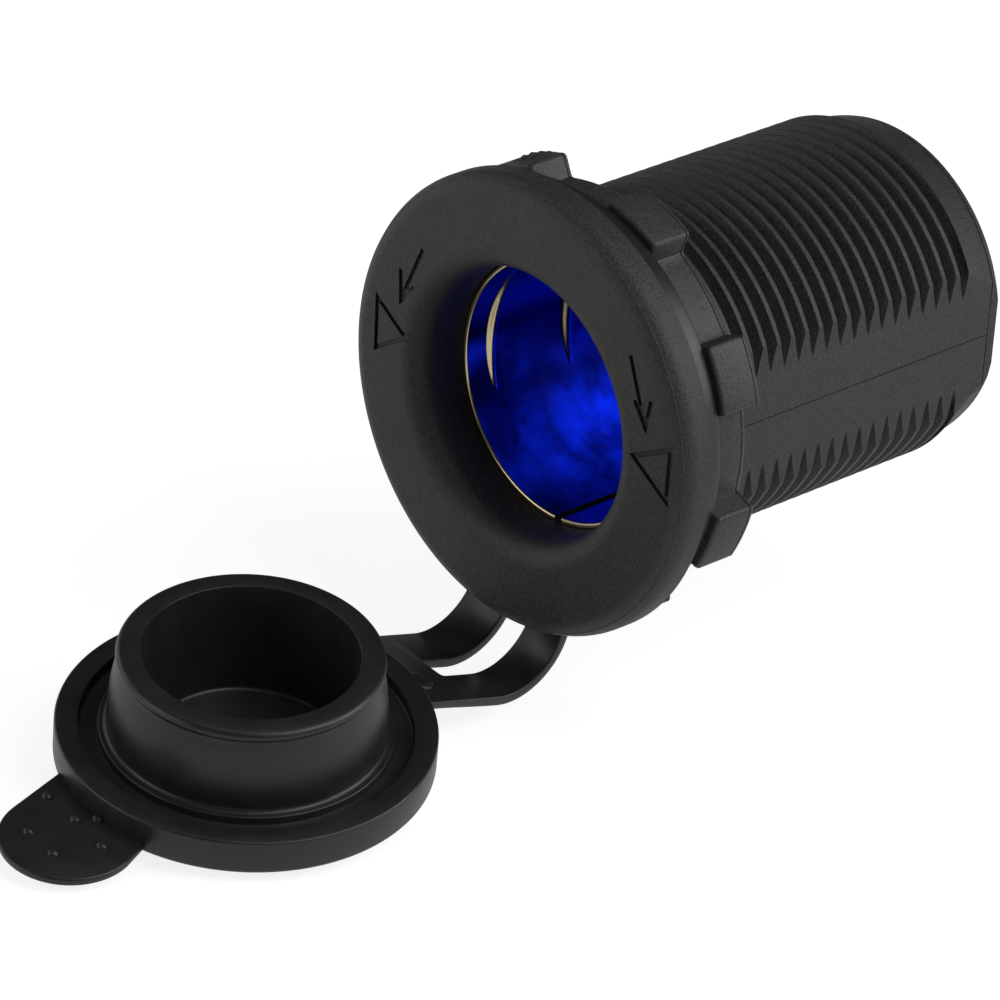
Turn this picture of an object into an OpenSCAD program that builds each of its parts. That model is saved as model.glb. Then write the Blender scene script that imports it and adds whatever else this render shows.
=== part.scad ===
// Panel-mounted 12 volt power socket with a rubber dust cap on two straps.
// The barrel runs along +Y into the panel, +Z is up, and the straps leave at the bottom.
// The origin is on the barrel's axis, at the rear face of the flange.

/* [Flange] */
// How far the flange stands out beyond the thread's crests
flange_w = 4.4; // [3.8:0.1:6.5]
// Thickness of the flange
flange_t = 3.2; // [2.8:0.1:4.5]
// Rounding of the flange's front edge
flange_round = 1.75; // [0.5:0.05:2]
// Rounding of the lip that leads into the throat
lip_round = 1.9; // [0.5:0.05:2.2]
// Chamfer of the flange's rear edge
flange_chamfer = 0.25; // [0.1:0.05:0.5]

/* [Barrel] */
// Wall between the throat and the roots of the thread
barrel_wall = 2.3; // [2.1:0.05:2.7]
// Distance from one thread groove to the next
thread_pitch = 1.54; // [1.4:0.01:2]
// Depth of a thread groove
thread_depth = 0.9; // [0.5:0.05:1]
// Width of a groove at its mouth
groove_mouth = 1.08; // [0.8:0.01:1.2]
// Width of a groove at its root
groove_root = 0.2; // [0.1:0.05:0.3]
// Length of the plain neck behind the flange
neck_l = 1.97; // [1.9:0.01:3]
// Length of the moulded barrel, from the flange's rear face to the rear cap
barrel_l = 36.7; // [35:0.1:45]
// Length of the tapered end behind the thread
taper_l = 3.04; // [1.5:0.02:5]
// How much the tapered end narrows in radius
taper_drop = 0.77; // [0.3:0.01:0.9]
// How far the middle of the taper lies inside a straight one
taper_bow = 0.1; // [0:0.01:0.15]
// Depth of each flat below the thread's roots
flat_depth = 0.6; // [0.3:0.05:1.1]

/* [Contact shell] */
// Inner radius of the contact shell, which is the bore for the plug
shell_bore_r = 10.5; // [10.3:0.01:10.7]
// Thickness of the shell's sheet
sheet_t = 0.45; // [0.3:0.05:0.5]
// Depth of the shell's rim below the flange's front face
rim_depth = 4.95; // [4.5:0.05:6]
// Length of the lead-in at the shell's rim
lead_in = 0.3; // [0.1:0.05:0.5]
// Length of the narrower stretch behind the bore
neck_in_l = 3.4; // [3.2:0.1:5]
// How much that stretch is narrower in radius
neck_in = 0.3; // [0.1:0.05:0.5]
// Width of the seam where the rolled sheet's edges meet
seam_w = 1.0; // [0.4:0.1:2]
// Angle of the seam, from +X towards +Z
seam_angle = -85; // [-120:1:-40]
// Height of the two ribs pressed inward
rib_h = 0.2; // [0.1:0.05:0.2]
// Width of each rib
rib_w = 1.2; // [0.8:0.1:2]
// Place of the first rib behind the shell's rim
rib_first = 2.6; // [1.5:0.1:4]
// Distance between the two ribs
rib_step = 8.2; // [4:0.1:12]
// Angle that the ribs span
rib_span = 64; // [30:1:80]
// Angle of the ribs' middle, from +X towards +Z
rib_angle = 172; // [150:1:200]

/* [Rear end] */
// Thickness of the base insulator
insulator_t = 2.2; // [1.8:0.1:3]
// Width of the ledge that carries the insulator
ledge_w = 1.4; // [1:0.1:1.8]
// Thickness of the rear cap's plate
cap_plate_t = 0.85; // [0.6:0.01:1.5]
// Length of the rear cap's spigot
spigot_l = 2.1; // [1.5:0.1:3]
// Radius of the centre rivet's shank
rivet_r = 2.0; // [1.5:0.1:2.2]
// Thickness of the light's circuit board
board_t = 1.0; // [0.8:0.1:1.6]
// Distance from the insulator to the board
board_gap = 1.4; // [1.2:0.1:1.8]
// Distance from the board to the rear cap's spigot
board_space = 1.0; // [0.6:0.1:2]
// Width of each blade terminal
blade_w = 6.3; // [4.8:0.1:6.5]
// Thickness of each blade terminal
blade_t = 0.8; // [0.5:0.05:1]
// How far the blades stand out behind the barrel's end
blade_out = 7.5; // [6:0.1:8]
// Distance of the negative blade's outer face from the ledge's inner face
blade_in = 1.5; // [1.4:0.1:1.6]
// Distance of the positive blade's outer face from the axis
blade_z = 4.8; // [4.6:0.1:5.5]
// Distance of the light's middle below the axis
led_z = 6.6; // [6:0.1:7]
// Radius of the light's body
led_r = 1.5; // [1.3:0.1:1.6]

/* [Lock nut] */
// Length of the nut
nut_l = 4.05; // [3.6:0.05:6]
// Wall of the nut over the thread's crests
nut_wall = 2.05; // [1.6:0.05:2.8]
// Height of the lugs
lug_h = 1.9; // [1:0.05:2.75]
// Number of lugs
lug_n = 8; // [6:1:10]
// Angle that a lug spans at its foot
lug_foot = 19.4; // [14:0.1:22]
// Angle that a lug spans at its top
lug_top = 17.4; // [12:0.1:20]
// Angle of the first lug, from +X towards +Z
lug_phase = 24.8; // [0:0.1:45]
// Chamfer of the nut's outer edges
nut_chamfer = 0.3; // [0.1:0.05:0.5]
// Running clearance of the nut's thread
thread_gap = 0.1; // [0.08:0.01:0.15]

/* [Rubber cap] */
// How far the ring behind the flange stands back from the flange's edge
collar_step = 1.05; // [0.6:0.05:1.6]
// Thickness of that ring
collar_t = 1.87; // [1.6:0.01:2.5]
// Angle by which the cap is turned about the barrel
cap_turn = 6.2; // [-10:0.1:10]
// Width over both straps
straps_w = 10.9; // [8:0.1:12]
// Sideways step of the straps' middle from the barrel's axis
strap_shift = 0.3; // [0:0.05:0.6]
// Width of the slot between the straps
strap_slot = 2.5; // [0.8:0.1:3]
// Thickness of a strap
strap_t = 0.85; // [0.7:0.05:1.5]
// Radius of the straps' bend, at the middle of their thickness
bend_r = 5.0; // [4.5:0.1:6.5]
// Slope of the straps as they rise to the lid
strap_slope = 16.0; // [10:0.5:30]
// Length of the sloping stretch that bends
strap_free_l = 4.51; // [2:0.01:6]
// Length of the stiffer stretch from there to the lid
strap_root_l = 3.13; // [2.5:0.01:5]
// Length over which both straps are joined before the lid
strap_web = 4.35; // [3.5:0.05:7]
// Height at which the straps meet the lid, above its outside
strap_seat = 0.79; // [0.7:0.01:1.5]
// How far the lid's edge stands back from the flange's edge
lid_step = 3.93; // [3.1:0.01:4.4]
// Thickness of the lid, from the rim's seat to the outside
lid_t = 2.75; // [2.4:0.05:3.2]
// Width of the lid's raised rim
lid_rim_w = 1.85; // [1.5:0.05:2]
// Depth of the groove inside the rim, below the rim's seat
lid_groove = 0.9; // [0.3:0.05:1.1]
// Height of the plug above the rim's seat
plug_h = 6.8; // [5:0.1:7]
// Clearance of the plug's bead in the contact shell
plug_gap = 0.3; // [0.25:0.05:0.7]
// Radius of the bead's own rounding
bead_round = 0.6; // [0.4:0.05:0.7]
// Depth of the waist below the bead
plug_waist = 0.45; // [0.2:0.05:0.6]
// Wall of the plug at its mouth
plug_wall = 2.05; // [1.5:0.05:2.7]
// Draft of the plug's inside, from its mouth to its floor
plug_draft = 0.65; // [0.2:0.05:1]
// Thickness of the web under the plug
plug_web = 0.7; // [0.5:0.05:1.2]
// Tilt of the open lid
lid_tilt = 4.85; // [0:0.05:8]
// Length of the grip tab beyond the lid's rim
tab_l = 8.65; // [6:0.05:12]
// Half-width of the grip tab at the lid
tab_w = 5.35; // [5:0.05:7]
// Radius of the grip tab's end
tab_end_r = 5.05; // [4:0.05:5.5]
// Thickness of the grip tab
tab_t = 0.65; // [0.5:0.05:1.6]
// Radius of each grip bump
bump_r = 0.45; // [0.3:0.05:0.6]
// Height of each grip bump
bump_h = 0.35; // [0.2:0.05:0.5]
// Distance between the bumps of a row
bump_step = 3.4; // [2:0.1:4]
// Distance between the rows of bumps
bump_row_step = 3.8; // [2:0.1:4.5]
// Distance of the first row from the lid's edge
bump_row = 1.6; // [1.3:0.05:3.5]

/* [Hidden] */
$fn = 96;
EPS = 0.02;

// Clearances
fit_gap = 0.05;
hole_gap = 0.1;
head_gap = 0.2;
slot_gap = 0.3;

// Stations along the barrel
front_y = -flange_t;
rim_y = front_y + rim_depth;
bore_y = rim_y + lead_in;
rear_y = barrel_l + cap_plate_t;
spigot_y = barrel_l - spigot_l;
board_y = spigot_y - board_space - board_t;
ledge_y = board_y - board_gap;
shell_end_y = ledge_y - insulator_t;
bore_end_y = shell_end_y - neck_in_l;
thread_end_y = barrel_l - taper_l;
nut_y = collar_t;

// Radii, from the bore outwards
shell_r = shell_bore_r + sheet_t;
throat_r = shell_r + fit_gap;
root_r = throat_r + barrel_wall;
thread_r = root_r + thread_depth;
end_r = thread_r - taper_drop;
flat_x = root_r - flat_depth;
flange_r = thread_r + flange_w;
collar_r = flange_r - collar_step;
nut_r = thread_r + nut_wall;
lug_r = nut_r + lug_h;
ledge_r = throat_r - ledge_w;
insulator_r = throat_r - hole_gap;
rivet_hole_r = rivet_r + hole_gap;
sleeve_wall = 1.3;
side_share = 0.6;
sleeve_r = rivet_hole_r + sleeve_wall;
groove_n = floor((thread_end_y - neck_l - groove_mouth) / thread_pitch) + 1;

// Small parts of the shell and the rear end
rim_edge = 0.1;
boss_r = 3.9;
boss_h = 1.5;
contact_t = 0.4;
contact_r = 3.6;
contact_h = 1.2;
contact_bend = 0.6;
contact_floor_r = contact_r - contact_bend - contact_t / 3;
rivet_head_r = contact_floor_r - hole_gap;
rivet_head_h = 0.8;
rivet_head_round = [0.5, 0.5];
peen_r = 3.2;
peen_h = 1.0;
peen_edge = [0.3, 0.6];
peen_top_r = 2.0;
washer_t = 0.5;
washer_r = 3.6;
blade_x = ledge_r - blade_in;
blade_tip = 1.2;
blade_hole_r = 0.85;
blade_hole_in = 2.6;
small_rivet_r = 0.9;
small_head_r = 1.5;
small_head_h = 0.5;
small_rivet_x = blade_x - blade_t - small_head_r - head_gap;
shell_lug_w = 6.0;
foot_gap = 0.4;
foot_end_x = sleeve_r + foot_gap;
led_flange_w = 0.25;
led_flange_r = led_r + led_flange_w;
led_flange_t = 0.9;
led_lead_w = 0.5;
led_lead_step = 2.54;
led_lead_out = 0.4;
resistor = [3.2, 0.6, 1.6];
resistor_at = [4.6, 2.6];
cap_plate_round = 0.3;
cap_plate_chamfer = 0.1;
cap_plate_draft = 0.14;

// Straps: root on the ring, straight stretch, bend, and slope up to the lid
strap_y = collar_t - strap_t / 2 - EPS;
strap_root = 0.65;
slot_top = 0.2;
strap_straight = 0.45;
root_z = -collar_r - strap_root;
bend_z = root_z - strap_straight;
bend_step = 6;
bend_angle = 90 + strap_slope;
strap_l = strap_free_l + strap_root_l;
slot_end_y = slope_point(strap_l)[0] + strap_web;
lid_reach = 1.4;

// Lid, whose edge meets the straps' end
lid_r = flange_r - lid_step;
lid_h = plug_h + lid_t;
plug_bead_r = shell_bore_r - plug_gap;
plug_mouth_r = plug_bead_r - plug_wall;
plug_floor_r = plug_mouth_r - plug_draft;
plug_flare = 1.4;
plug_flare_edge = 0.2;
lid_round = 0.35;
lid_rim_round = 0.15;
lid_y = slope_point(strap_l)[0] - lid_r * cos(lid_tilt) - (lid_h - strap_seat) * sin(lid_tilt);
lid_z = slope_point(strap_l)[1] - lid_r * sin(lid_tilt) + (lid_h - strap_seat) * cos(lid_tilt);
tab_root = 2.5;
bump_taper = 0.7;
odd_bump = [0.4, 1.5];

function bend_point(a) = [
  strap_y - bend_r + bend_r * cos(a),
  bend_z - bend_r * sin(a),
  -90 - a
];
function slope_point(l) = [
  bend_point(bend_angle)[0] - l * cos(strap_slope),
  bend_point(bend_angle)[1] + l * sin(strap_slope),
  -90 - bend_angle
];
function offset_side(path, d) = [
  for (p = path) [p[0] - d * sin(p[2]), p[1] + d * cos(p[2])]
];
function reversed(list) = [for (i = [len(list) - 1:-1:0]) list[i]];
function arc(cx, cy, r, from, to, steps) = [
  for (i = [0:steps]) let (a = from + (to - from) * i / steps) [cx + r * cos(a), cy + r * sin(a)]
];

// Turns a profile of [radius, y] points about the barrel's axis
module turned(points) {
  rotate([-90, 0, 0])
    rotate_extrude()
      polygon(points);
}

module tube(inner, outer, y0, y1) {
  turned([[inner, y0], [outer, y0], [outer, y1], [inner, y1]]);
}

module rod(r, y0, y1, x = 0, z = 0) {
  translate([x, y0, z])
    rotate([-90, 0, 0])
      cylinder(h = y1 - y0, r = r);
}

// Box from one corner to the other
module block(low, high) {
  translate(low)
    cube(high - low);
}

// Turns what is built at +X to an angle measured towards +Z
module at_angle(a) {
  rotate([0, -a, 0])
    children();
}

module both_flats(x, y0, y1) {
  for (s = [-1, 1])
    translate([s * (x + thread_r / 2), (y0 + y1) / 2, 0])
      cube([thread_r, y1 - y0, 3 * thread_r], center = true);
}

function groove_y(i) = thread_end_y - groove_mouth / 2 - i * thread_pitch;

function groove_points(i) = [
  [thread_r, groove_y(i) - groove_mouth / 2],
  [root_r, groove_y(i) - groove_root / 2],
  [root_r, groove_y(i) + groove_root / 2],
  [thread_r, groove_y(i) + groove_mouth / 2]
];

module housing() {
  outside = concat(
    arc(throat_r + lip_round, front_y + lip_round, lip_round, 180, 270, 10),
    arc(flange_r - flange_round, front_y + flange_round, flange_round, 270, 360, 10),
    [[flange_r, -flange_chamfer], [flange_r - flange_chamfer, 0], [thread_r, 0]],
    [for (i = [groove_n - 1:-1:0]) each groove_points(i)],
    [[(thread_r + end_r) / 2 - taper_bow, barrel_l - taper_l / 2], [end_r, barrel_l]],
    [[ledge_r, barrel_l], [ledge_r, ledge_y], [throat_r, ledge_y]]
  );
  color("#2b2c2e")
    difference() {
      turned(outside);
      both_flats(flat_x, 0, barrel_l + 1);
    }
}

// One pressed rib: the sheet keeps its thickness, with a groove outside
module rib(y) {
  bow = (pow(rib_w / 2, 2) + pow(rib_h, 2)) / (2 * rib_h);
  centre_r = shell_bore_r - rib_h + bow;
  translate([0, y, 0])
    at_angle(rib_angle - rib_span / 2)
      rotate([90, 0, 0])
        rotate_extrude(angle = rib_span)
          translate([centre_r, 0])
            circle(r = bow, $fn = 48);
}

module contact_shell() {
  small_r = shell_bore_r - neck_in;
  color("#b9bdc2")
    difference() {
      union() {
        turned([
          [shell_bore_r, bore_y], [shell_r - rim_edge, rim_y], [shell_r, rim_y + rim_edge],
          [shell_r, bore_end_y + sheet_t], [small_r + sheet_t, bore_end_y + sheet_t + neck_in],
          [small_r + sheet_t, shell_end_y], [small_r, shell_end_y],
          [small_r, bore_end_y + neck_in], [shell_bore_r, bore_end_y]
        ]);
        intersection() {
          tube(shell_bore_r - rib_h - EPS, shell_bore_r + sheet_t / 2, bore_y, bore_end_y);
          union() {
            rib(rim_y + rib_first);
            rib(rim_y + rib_first + rib_step);
          }
        }
        difference() {
          block([-shell_bore_r, shell_end_y - sheet_t, -shell_lug_w / 2],
                [-boss_r - slot_gap, shell_end_y, shell_lug_w / 2]);
          rod(small_rivet_r + hole_gap, shell_end_y - 1, shell_end_y + 1, -small_rivet_x);
        }
      }
      at_angle(seam_angle)
        block([small_r - 1, rim_y - 1, -seam_w / 2], [shell_r + 1, shell_end_y + 1, seam_w / 2]);
    }
}

module base_insulator() {
  color("#d8d6cf")
    difference() {
      union() {
        rod(insulator_r, shell_end_y, ledge_y);
        rod(boss_r, shell_end_y - boss_h, shell_end_y + EPS);
      }
      rod(rivet_hole_r, shell_end_y - boss_h - 1, ledge_y + 1);
      rod(small_rivet_r + hole_gap, shell_end_y - 1, ledge_y + 1, -small_rivet_x);
      rod(led_r + hole_gap, shell_end_y - 1, ledge_y + 1, 0, -led_z);
    }
}

module centre_contact() {
  seat_y = shell_end_y - boss_h;
  color("#c9a64a")
    turned([
      [rivet_hole_r, seat_y], [contact_r - contact_bend, seat_y], [contact_r, seat_y - contact_bend],
      [contact_r, seat_y - contact_h], [contact_r - contact_t, seat_y - contact_h],
      [contact_r - contact_t, seat_y - contact_bend - contact_t / 3],
      [contact_floor_r, seat_y - contact_t],
      [rivet_hole_r, seat_y - contact_t]
    ]);
}

module centre_rivet() {
  head_y = shell_end_y - boss_h - contact_t;
  peen_y = rear_y + blade_t + washer_t;
  color("#c9a64a")
    turned([
      [0, head_y - rivet_head_h], [rivet_head_r - rivet_head_round[0], head_y - rivet_head_h],
      [rivet_head_r, head_y - rivet_head_h + rivet_head_round[1]], [rivet_head_r, head_y],
      [rivet_r, head_y], [rivet_r, peen_y], [peen_r, peen_y],
      [peen_r - peen_edge[0], peen_y + peen_edge[1]], [peen_top_r, peen_y + peen_h], [0, peen_y + peen_h]
    ]);
}

module front_sleeve() {
  color("#e9e7e0")
    tube(rivet_hole_r, sleeve_r, ledge_y, board_y);
}

module rear_sleeve() {
  color("#c9a64a")
    tube(rivet_hole_r, sleeve_r, board_y + board_t, spigot_y);
}

module led_board() {
  board_r = ledge_r - slot_gap;
  color("#1f6b3a")
    difference() {
      rod(board_r, board_y, board_y + board_t);
      rod(rivet_hole_r, board_y - 1, board_y + board_t + 1);
      block([-board_r - 1, board_y - 1, -blade_w / 2 - slot_gap],
            [-blade_x + blade_t + slot_gap, board_y + board_t + 1, blade_w / 2 + slot_gap]);
      for (s = [-1, 1])
        rod(led_lead_w / 2 + slot_gap / 2, board_y - 1, board_y + board_t + 1,
            s * led_lead_step / 2, -led_z);
    }
}

module led() {
  color("#cfe2ff")
    union() {
      rod(led_flange_r, ledge_y, ledge_y + led_flange_t, 0, -led_z);
      rod(led_r, shell_end_y, ledge_y + EPS, 0, -led_z);
      translate([0, shell_end_y, -led_z])
        sphere(r = led_r, $fn = 48);
    }
}

module led_leads() {
  half = led_lead_w / 2;
  color("#c8c8c8")
    for (s = [-1, 1])
      translate([s * led_lead_step / 2, 0, -led_z])
        block([-half, ledge_y + led_flange_t, -half], [half, board_y + board_t + led_lead_out, half]);
}

module led_resistor() {
  color("#222222")
    translate([resistor_at[0] - resistor[0] / 2, board_y + board_t, resistor_at[1] - resistor[2] / 2])
      cube(resistor);
}

// Blade along Y with a pointed tip and a latch hole, flat in the Y-Z plane
module blade(y0, y1) {
  half = blade_w / 2;
  difference() {
    rotate([90, 0, 90])
      linear_extrude(height = blade_t)
        polygon([
          [y0, -half], [y1 - blade_tip, -half], [y1, -half + blade_tip],
          [y1, half - blade_tip], [y1 - blade_tip, half], [y0, half]
        ]);
    translate([-blade_t, y1 - blade_hole_in, 0])
      rotate([0, 90, 0])
        cylinder(h = 3 * blade_t, r = blade_hole_r, $fn = 32);
  }
}

module negative_terminal() {
  color("#d3d5d8")
    difference() {
      union() {
        translate([-blade_x, 0, 0])
          blade(ledge_y, rear_y + blade_out);
        block([-blade_x, ledge_y, -blade_w / 2], [-foot_end_x, ledge_y + blade_t, blade_w / 2]);
      }
      rod(small_rivet_r + hole_gap, ledge_y - 1, ledge_y + blade_t + 1, -small_rivet_x);
    }
}

module negative_rivet() {
  front = shell_end_y - sheet_t;
  rear = ledge_y + blade_t;
  color("#c9a64a")
    union() {
      rod(small_rivet_r, front - EPS, rear + EPS, -small_rivet_x);
      rod(small_head_r, front - small_head_h, front, -small_rivet_x);
      rod(small_head_r, rear, rear + small_head_h, -small_rivet_x);
    }
}

module positive_terminal() {
  color("#d3d5d8")
    difference() {
      union() {
        translate([0, 0, -blade_z])
          rotate([0, -90, 0])
            blade(rear_y, rear_y + blade_out);
        block([-blade_w / 2, rear_y, -blade_z], [blade_w / 2, rear_y + blade_t, 0]);
        rod(blade_w / 2, rear_y, rear_y + blade_t);
      }
      rod(rivet_hole_r, rear_y - 1, rear_y + blade_t + 1);
    }
}

module backing_washer() {
  color("#b9bdc2")
    tube(rivet_hole_r, washer_r, rear_y + blade_t, rear_y + blade_t + washer_t);
}

module rear_cap() {
  rim_r = end_r - cap_plate_draft;
  color("#26272a")
    difference() {
      turned([
        [0, spigot_y], [ledge_r - hole_gap, spigot_y], [ledge_r - hole_gap, barrel_l],
        [end_r - cap_plate_chamfer, barrel_l], [end_r, barrel_l + cap_plate_chamfer],
        [rim_r, rear_y - cap_plate_round], [rim_r - cap_plate_round, rear_y], [0, rear_y]
      ]);
      both_flats(flat_x, barrel_l - 1, rear_y + 1);
      rod(rivet_hole_r, spigot_y - 1, rear_y + 1);
      block([-blade_x - slot_gap, spigot_y - 1, -blade_w / 2 - slot_gap],
            [-blade_x + blade_t + slot_gap, rear_y + 1, blade_w / 2 + slot_gap]);
    }
}

// Space that the nut's thread leaves: ridges reach into the barrel's grooves
module nut_bore() {
  side_gap = thread_gap * side_share;
  slope = (groove_mouth - groove_root) / 2 / thread_depth;
  minor_r = root_r + thread_gap;
  major_r = thread_r + thread_gap;
  tip_w = groove_root + 2 * slope * thread_gap - 2 * side_gap;
  foot_w = tip_w + 2 * slope * (major_r - minor_r);
  low = [for (i = [groove_n - 1:-1:0]) if (groove_y(i) < nut_y + nut_l + thread_pitch) i];
  turned(concat(
    [[0, nut_y - 1], [major_r, nut_y - 1]],
    [for (i = low) each [
      [major_r, groove_y(i) - foot_w / 2], [minor_r, groove_y(i) - tip_w / 2],
      [minor_r, groove_y(i) + tip_w / 2], [major_r, groove_y(i) + foot_w / 2]
    ]],
    [[major_r, nut_y + nut_l + 2 * thread_pitch], [0, nut_y + nut_l + 2 * thread_pitch]]
  ));
}

// Ring with both outer edges chamfered
module chamfered_ring(inner, outer, y0, y1, c) {
  turned([
    [inner, y0], [outer - c, y0], [outer, y0 + c],
    [outer, y1 - c], [outer - c, y1], [inner, y1]
  ]);
}

module lug_wedge() {
  near = nut_r - 1;
  far = lug_r + 1;
  rotate([-90, 0, 0])
    translate([0, 0, nut_y - 1])
      linear_extrude(height = nut_l + 2)
        polygon([
          [near, -near * tan(lug_foot / 2)], [far, -far * tan(lug_top / 2)],
          [far, far * tan(lug_top / 2)], [near, near * tan(lug_foot / 2)]
        ]);
}

module lock_nut() {
  color("#303134")
    difference() {
      union() {
        chamfered_ring(thread_r - 2, nut_r, nut_y, nut_y + nut_l, nut_chamfer);
        intersection() {
          chamfered_ring(nut_r - 0.5, lug_r, nut_y, nut_y + nut_l, nut_chamfer);
          union()
            for (i = [0:lug_n - 1])
              at_angle(lug_phase + i * 360 / lug_n)
                lug_wedge();
        }
      }
      nut_bore();
    }
}

// Strap outline in the Y-Z plane, extruded across X
module ribbon(path, w) {
  translate([strap_shift, 0, 0])
    rotate([90, 0, 90])
      linear_extrude(height = w, center = true)
        polygon(concat(offset_side(path, strap_t / 2), reversed(offset_side(path, -strap_t / 2))));
}

module strap_gap(y0, y1, z0, z1) {
  block([strap_shift - strap_slot / 2, y0, z0], [strap_shift + strap_slot / 2, y1, z1]);
}

module cap_collar() {
  color("#2a2a2b")
    rotate([0, cap_turn, 0])
      difference() {
        union() {
          tube(thread_r + 2 * hole_gap, collar_r, 0, collar_t);
          ribbon([[strap_y, 1 - collar_r, -90], [strap_y, root_z, -90]], straps_w);
        }
        strap_gap(-1, collar_t + 1, root_z - 1, -collar_r - slot_top);
      }
}

module cap_straps() {
  path = concat(
    [[strap_y, root_z, -90]],
    [for (a = [0:bend_step:bend_angle]) bend_point(a)],
    [slope_point(0), slope_point(strap_free_l)]
  );
  color("#2a2a2b")
    rotate([0, cap_turn, 0])
      difference() {
        ribbon(path, straps_w);
        strap_gap(slot_end_y, strap_y + strap_t, bend_z - bend_r - strap_t, root_z + 1);
      }
}

// Lid in its own frame: +Z is the way the plug points, +Y the side of the straps
module lid_body() {
  seat = -plug_h;
  floor_h = plug_web - lid_h;
  bead_c = plug_bead_r - bead_round;
  flare_r = plug_bead_r - plug_waist + plug_flare;
  flare_h = seat - plug_flare_edge + plug_flare;
  rim_in = lid_r - lid_rim_w;
  rotate_extrude()
    polygon(concat(
      [[0, -lid_h], [lid_r - lid_round, -lid_h], [lid_r, lid_round - lid_h], [lid_r, seat - lid_rim_round],
       [lid_r - lid_rim_round, seat], [rim_in, seat], [rim_in, seat - lid_groove],
       [flare_r, seat - lid_groove], [flare_r, seat - plug_flare_edge]],
      arc(flare_r, flare_h, plug_flare, 270, 180, 6),
      arc(bead_c, -bead_round, bead_round, -50, 90, 8),
      [[plug_mouth_r, 0], [plug_floor_r, floor_h], [0, floor_h]]
    ));
}

// Tongue with round corners, and its rows of grip bumps
module grip_tab() {
  end_y = -lid_r - tab_l + tab_end_r;
  first_row = -lid_r - bump_row;
  places = concat(
    [for (i = [-1:1]) [i * bump_step, first_row]],
    [for (i = [-0.5:0.5]) [i * bump_step, first_row - bump_row_step]],
    [[odd_bump[0], first_row + odd_bump[1]]]
  );
  translate([0, 0, -lid_h]) {
    linear_extrude(height = tab_t)
      union() {
        translate([0, end_y])
          circle(r = tab_end_r);
        polygon([
          [-tab_w, tab_root - lid_r], [-tab_end_r, end_y], [tab_end_r, end_y], [tab_w, tab_root - lid_r]
        ]);
      }
    for (p = places)
      translate([p[0], p[1], tab_t - EPS])
        cylinder(h = bump_h + EPS, r1 = bump_r, r2 = bump_r * bump_taper, $fn = 24);
  }
}

module cap_lid() {
  color("#2a2a2b")
    rotate([0, cap_turn, 0])
      union() {
        translate([0, lid_y, lid_z])
          rotate([lid_tilt, 0, 0]) {
            lid_body();
            grip_tab();
          }
        ribbon([slope_point(strap_free_l), slope_point(strap_l + lid_reach)], straps_w);
      }
}

housing();
contact_shell();
base_insulator();
centre_contact();
centre_rivet();
front_sleeve();
rear_sleeve();
led_board();
led();
led_leads();
led_resistor();
negative_terminal();
negative_rivet();
positive_terminal();
backing_washer();
rear_cap();
lock_nut();
cap_collar();
cap_straps();
cap_lid();
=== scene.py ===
# %% [markdown]
# # A 12 volt panel socket with a rubber dust cap
# The frame holds the measured solids of a panel socket. This lesson gives each the surface that the real
# piece has: grained black nylon, a plated shell with the blue light from its base painted on, soft black
# rubber, and the brass and tinned strip behind the barrel. It begins with the frame, because every piece is
# placed by it.

# %% Load the frame
import math

import bmesh
import bpy
from mathutils import Matrix, Vector


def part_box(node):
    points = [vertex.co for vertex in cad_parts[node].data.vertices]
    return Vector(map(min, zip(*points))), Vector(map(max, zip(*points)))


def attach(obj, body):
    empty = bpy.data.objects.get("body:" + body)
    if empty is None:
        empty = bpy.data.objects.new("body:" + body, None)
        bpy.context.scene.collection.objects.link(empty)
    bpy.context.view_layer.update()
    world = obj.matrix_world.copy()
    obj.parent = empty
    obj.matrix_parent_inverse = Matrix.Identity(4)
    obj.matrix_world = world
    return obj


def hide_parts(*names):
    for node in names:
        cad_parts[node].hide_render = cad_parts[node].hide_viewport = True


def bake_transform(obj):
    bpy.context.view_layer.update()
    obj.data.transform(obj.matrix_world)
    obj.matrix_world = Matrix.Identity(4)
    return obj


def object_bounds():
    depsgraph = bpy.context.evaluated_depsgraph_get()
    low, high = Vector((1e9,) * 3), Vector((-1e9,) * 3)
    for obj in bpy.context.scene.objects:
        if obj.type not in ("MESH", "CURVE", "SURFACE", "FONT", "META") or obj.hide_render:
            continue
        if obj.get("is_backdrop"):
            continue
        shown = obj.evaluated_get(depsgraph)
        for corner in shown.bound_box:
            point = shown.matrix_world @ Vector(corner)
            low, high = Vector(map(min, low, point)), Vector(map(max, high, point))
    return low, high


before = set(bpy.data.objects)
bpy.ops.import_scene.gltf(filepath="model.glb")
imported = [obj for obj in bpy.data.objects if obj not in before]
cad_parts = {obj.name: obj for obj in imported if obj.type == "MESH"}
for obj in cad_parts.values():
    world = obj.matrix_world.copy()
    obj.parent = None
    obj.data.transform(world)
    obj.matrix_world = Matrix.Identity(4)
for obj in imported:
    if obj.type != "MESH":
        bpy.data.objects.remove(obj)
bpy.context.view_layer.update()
MM = 0.001
print("nodes:", ", ".join(sorted(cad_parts)))

# %% [markdown]
# ## Sizes
# The sizes are in millimetres, as a maker's drawing gives them. The outer ones are read from the frame's
# own boxes. The rest are the solids' driving sizes, with the small roundings that the solids leave out.

# %% Sizes read from the frame
housing_low, housing_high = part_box("housing")
nut_low, nut_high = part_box("lock_nut")
collar_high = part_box("cap_collar")[1]
end_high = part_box("rear_cap")[1]

FLANGE_R = housing_high.x / MM
FRONT_Y = housing_low.y / MM
BARREL_Y = housing_high.y / MM
COLLAR_T = collar_high.y / MM
NUT_Y0 = nut_low.y / MM
NUT_Y1 = nut_high.y / MM
FLAT_X = end_high.x / MM
print(f"flange radius {FLANGE_R:.2f}, front {FRONT_Y:.2f} mm")
print(f"barrel end {BARREL_Y:.2f}, flats at {FLAT_X:.2f} mm")

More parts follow.
